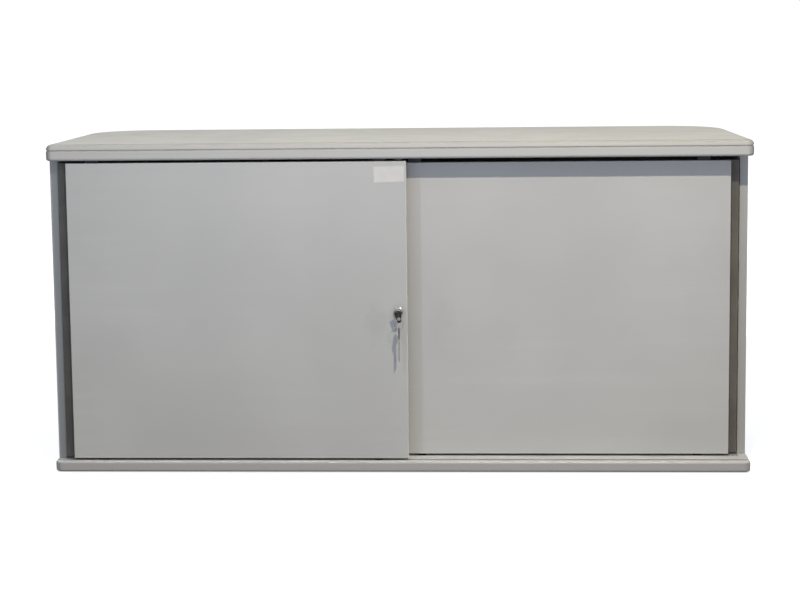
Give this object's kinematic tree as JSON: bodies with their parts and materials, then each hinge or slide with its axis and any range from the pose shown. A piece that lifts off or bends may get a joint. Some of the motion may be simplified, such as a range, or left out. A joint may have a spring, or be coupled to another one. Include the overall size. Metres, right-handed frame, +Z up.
{
  "type": "sliding door cabinet",
  "caption": "Low grey office cabinet with sliding doors that pass each other, a lock with a folding key and a spare on a ring, shelves inside, and a top and base that stand out at the back.",
  "frame": {"origin": "middle of the footprint, hanging keys included, on the floor under the glides", "axes": "+X to the right seen from the front, the front faces -Y, +Z up"},
  "size_m": [1.6, 0.5738, 0.762],
  "materials": {
    "grey_board": "light grey laminated chipboard, satin, edges in the same grey",
    "door_board": "light grey laminated chipboard, satin, slightly lighter edges",
    "cover_laminate": "pale warm grey laminate with a rounded edge, satin",
    "dark_plastic": "dark brown-grey, matte",
    "track_plastic": "mid grey extruded plastic",
    "nylon": "dark grey nylon",
    "steel": "plain bright steel",
    "nickel": "satin nickel plate",
    "rubber": "black rubber",
    "black_plastic": "black, half matte",
    "label_paper": "blank pale label, matte"
  },
  "bodies": {
    "carcass": {"cover_top": "cover_laminate", "top_panel": "grey_board", "base_panel": "grey_board", "glide_front_left": "black_plastic", "glide_front_right": "black_plastic", "glide_rear_left": "black_plastic", "glide_rear_right": "black_plastic", "side_panel_left": "grey_board", "side_panel_right": "grey_board", "back_panel": "grey_board", "centre_partition": "grey_board", "shelf_left": "grey_board", "shelf_right": "grey_board", "shelf_pin_left_outer_front": "steel", "shelf_pin_left_outer_rear": "steel", "shelf_pin_left_inner_front": "steel", "shelf_pin_left_inner_rear": "steel", "shelf_pin_right_outer_front": "steel", "shelf_pin_right_outer_rear": "steel", "shelf_pin_right_inner_front": "steel", "shelf_pin_right_inner_rear": "steel", "front_bottom_track": "track_plastic", "rear_bottom_track": "track_plastic", "front_top_channel": "track_plastic", "rear_top_channel": "track_plastic", "front_channel_stop_left": "rubber", "front_channel_stop_right": "rubber", "rear_channel_stop_left": "rubber", "rear_channel_stop_right": "rubber"},
    "front_door": {"front_door_panel": "door_board", "front_door_grip_strip": "dark_plastic", "front_roller_housing_left": "nylon", "front_roller_housing_right": "nylon", "front_roller_axle_left": "steel", "front_roller_axle_right": "steel", "front_top_guide_left": "nylon", "front_top_guide_right": "nylon", "lock_housing": "nickel", "label": "label_paper"},
    "rear_door": {"rear_door_panel": "door_board", "rear_door_grip_strip": "dark_plastic", "rear_roller_housing_left": "nylon", "rear_roller_housing_right": "nylon", "rear_roller_axle_left": "steel", "rear_roller_axle_right": "steel", "rear_top_guide_left": "nylon", "rear_top_guide_right": "nylon", "strike_bush": "steel"},
    "front_roller_left": {"front_roller_left": "nylon"},
    "front_roller_right": {"front_roller_right": "nylon"},
    "rear_roller_left": {"rear_roller_left": "nylon"},
    "rear_roller_right": {"rear_roller_right": "nylon"},
    "lock_core": {"lock_core": "nickel"},
    "lock_plug": {"lock_plug": "steel", "key_blade": "nickel"},
    "key_bow": {"key_bow": "black_plastic"},
    "key_ring": {"key_ring": "steel"},
    "spare_key": {"spare_key_bow": "black_plastic", "spare_key_blade": "nickel"}
  },
  "joints": [
    {"name": "front_door_slide", "type": "slide", "parent": "carcass", "child": "front_door", "axis": [1, 0, 0], "range_m": [0, 0.735]},
    {"name": "rear_door_slide", "type": "slide", "parent": "carcass", "child": "rear_door", "axis": [-1, 0, 0], "range_m": [0, 0.735]},
    {"name": "front_roller_left_spin", "type": "hinge", "parent": "front_door", "child": "front_roller_left", "pos_m": [-0.686, -0.25358, 0.0374], "axis": [0, 1, 0], "continuous": true},
    {"name": "front_roller_right_spin", "type": "hinge", "parent": "front_door", "child": "front_roller_right", "pos_m": [-0.049, -0.25358, 0.0374], "axis": [0, 1, 0], "continuous": true},
    {"name": "rear_roller_left_spin", "type": "hinge", "parent": "rear_door", "child": "rear_roller_left", "pos_m": [0.049, -0.21258, 0.0374], "axis": [0, 1, 0], "continuous": true},
    {"name": "rear_roller_right_spin", "type": "hinge", "parent": "rear_door", "child": "rear_roller_right", "pos_m": [0.686, -0.21258, 0.0374], "axis": [0, 1, 0], "continuous": true},
    {"name": "lock_push", "type": "slide", "parent": "front_door", "child": "lock_core", "axis": [0, 1, 0], "range_m": [0, 0.006], "stiffness_N_per_m": 150},
    {"name": "key_turn", "type": "hinge", "parent": "lock_core", "child": "lock_plug", "pos_m": [0, -0.27808, 0.374], "axis": [0, 1, 0], "range_deg": [-82, 8]},
    {"name": "key_fold", "type": "hinge", "parent": "lock_plug", "child": "key_bow", "pos_m": [0, -0.27808, 0.374], "axis": [-0.9903, 0, -0.1392], "range_deg": [0, 90]},
    {"name": "ring_swing", "type": "hinge", "parent": "key_bow", "child": "key_ring", "pos_m": [0.00184, -0.27808, 0.35903], "axis": [0, 1, 0], "range_deg": [-25, 25]},
    {"name": "spare_key_swing", "type": "hinge", "parent": "key_ring", "child": "spare_key", "pos_m": [0.00184, -0.27808, 0.33403], "axis": [0, 1, 0], "range_deg": [-25, 25]}
  ],
  "couplings": [
    {"joint": "front_roller_left_spin", "follows": "front_door_slide", "rad_per_m": 76.923},
    {"joint": "front_roller_right_spin", "follows": "front_door_slide", "rad_per_m": 76.923},
    {"joint": "rear_roller_left_spin", "follows": "rear_door_slide", "rad_per_m": -76.923},
    {"joint": "rear_roller_right_spin", "follows": "rear_door_slide", "rad_per_m": -76.923}
  ]
}
